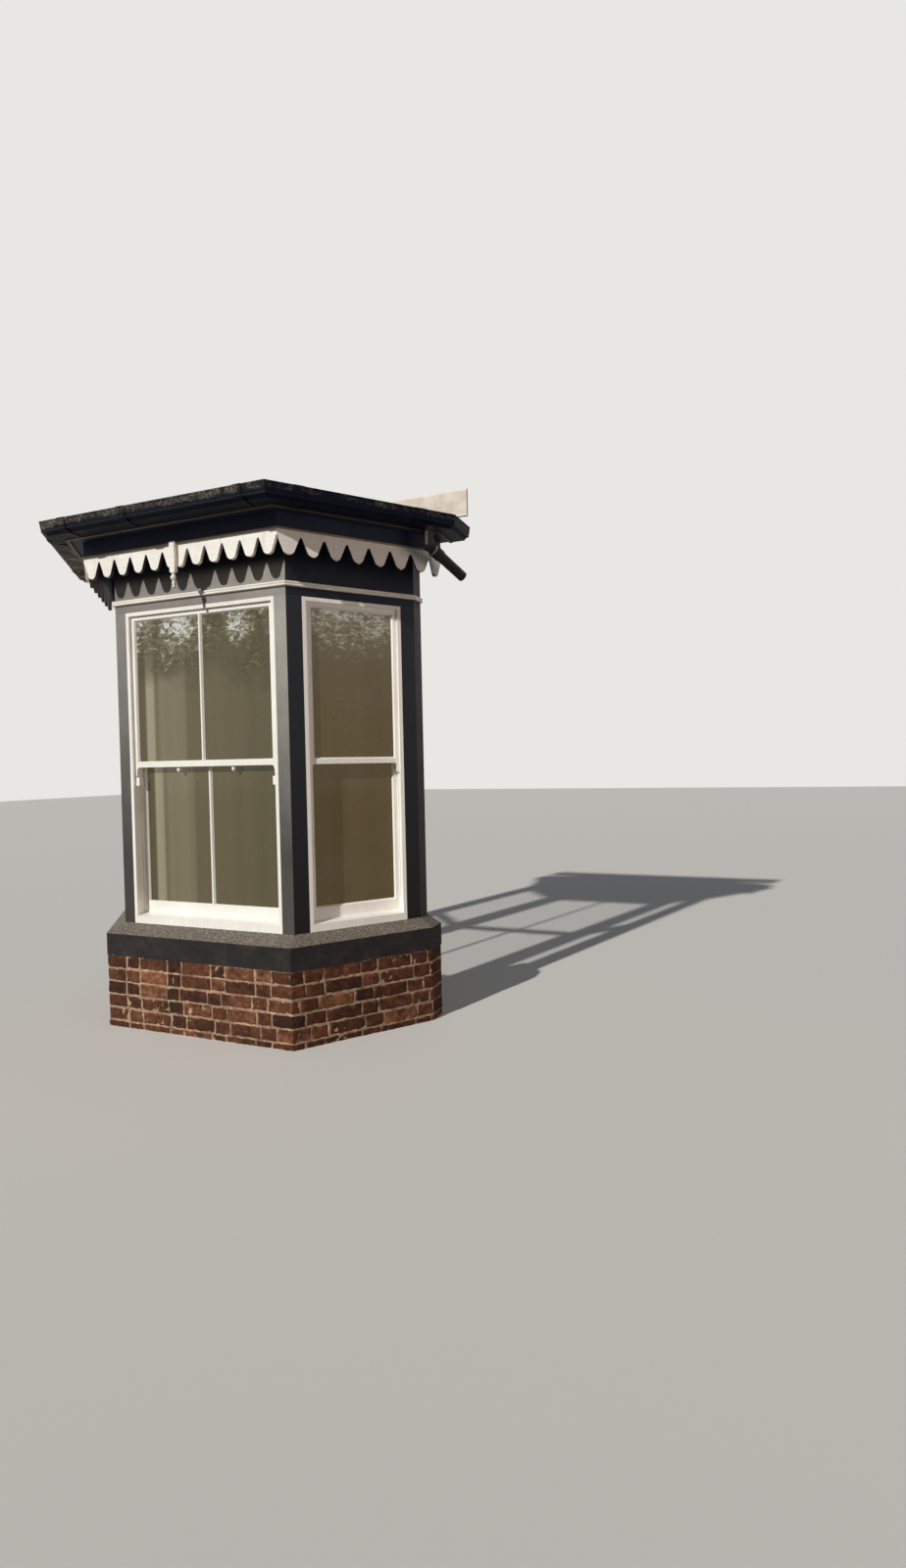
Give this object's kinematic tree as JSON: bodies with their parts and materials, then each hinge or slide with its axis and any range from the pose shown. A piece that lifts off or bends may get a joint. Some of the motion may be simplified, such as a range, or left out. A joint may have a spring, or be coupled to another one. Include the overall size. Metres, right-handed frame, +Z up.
{
  "type": "canted bay window",
  "caption": "Ground-floor canted bay window with sliding sashes on a brick plinth, with a scalloped timber valance under its eaves, cut off at the wall.",
  "frame": {"origin": "centre of the bounding box's bottom face, at ground level", "axes": "+Z up, -Y outwards from the house, +X to the right as seen from the street"},
  "size_m": [3.2886, 1.1194, 3.603],
  "materials": {
    "brick": "weathered red-brown brick with cream mortar",
    "stone_sill": "stone painted dark grey, worn pale on top",
    "grey_paint": "mid grey gloss paint on timber",
    "cream_paint": "cream-white gloss paint on timber",
    "valance_paint": "cream-white paint on timber, lightly dirty",
    "bead_paint": "dull beige paint on timber",
    "dark_paint": "blue-black paint on timber",
    "window_glass": "clear window glass with a dim room behind",
    "gutter_iron": "black paint on cast iron, mossy on the face",
    "roof_timber": "sawn roof boards",
    "roof_lead": "weathered grey sheet lead",
    "flashing_render": "pale grey cement band",
    "plaster": "matt white plaster"
  },
  "bodies": {
    "root": {"plinth_front": "brick", "plinth_left": "brick", "plinth_right": "brick", "sill_front": "stone_sill", "sill_left": "stone_sill", "sill_right": "stone_sill", "corner_post_left": "grey_paint", "corner_post_right": "grey_paint", "wall_post_left": "grey_paint", "wall_post_right": "grey_paint", "frame_front": "cream_paint", "frame_left": "cream_paint", "frame_right": "cream_paint", "upper_sash_front": "cream_paint", "upper_sash_left": "cream_paint", "upper_sash_right": "cream_paint", "lower_sash_front": "cream_paint", "lower_sash_left": "cream_paint", "lower_sash_right": "cream_paint", "glass_front": "window_glass", "glass_left": "window_glass", "glass_right": "window_glass", "frieze_front": "grey_paint", "frieze_left": "grey_paint", "frieze_right": "grey_paint", "head_moulding": "cream_paint", "soffit": "dark_paint", "valance_bearer": "dark_paint", "fascia_front": "dark_paint", "fascia_left": "dark_paint", "fascia_right": "dark_paint", "valance_front": "valance_paint", "valance_left": "valance_paint", "valance_right": "valance_paint", "valance_bead": "bead_paint", "pendant": "valance_paint", "gutter_front": "gutter_iron", "gutter_left": "gutter_iron", "gutter_right": "gutter_iron", "gutter_sockets": "gutter_iron", "outlet_pipe": "gutter_iron", "roof_boards": "roof_timber", "lead_roof": "roof_lead", "wall_flashing": "flashing_render", "ceiling": "plaster", "window_board": "cream_paint"}
  },
  "joints": []
}
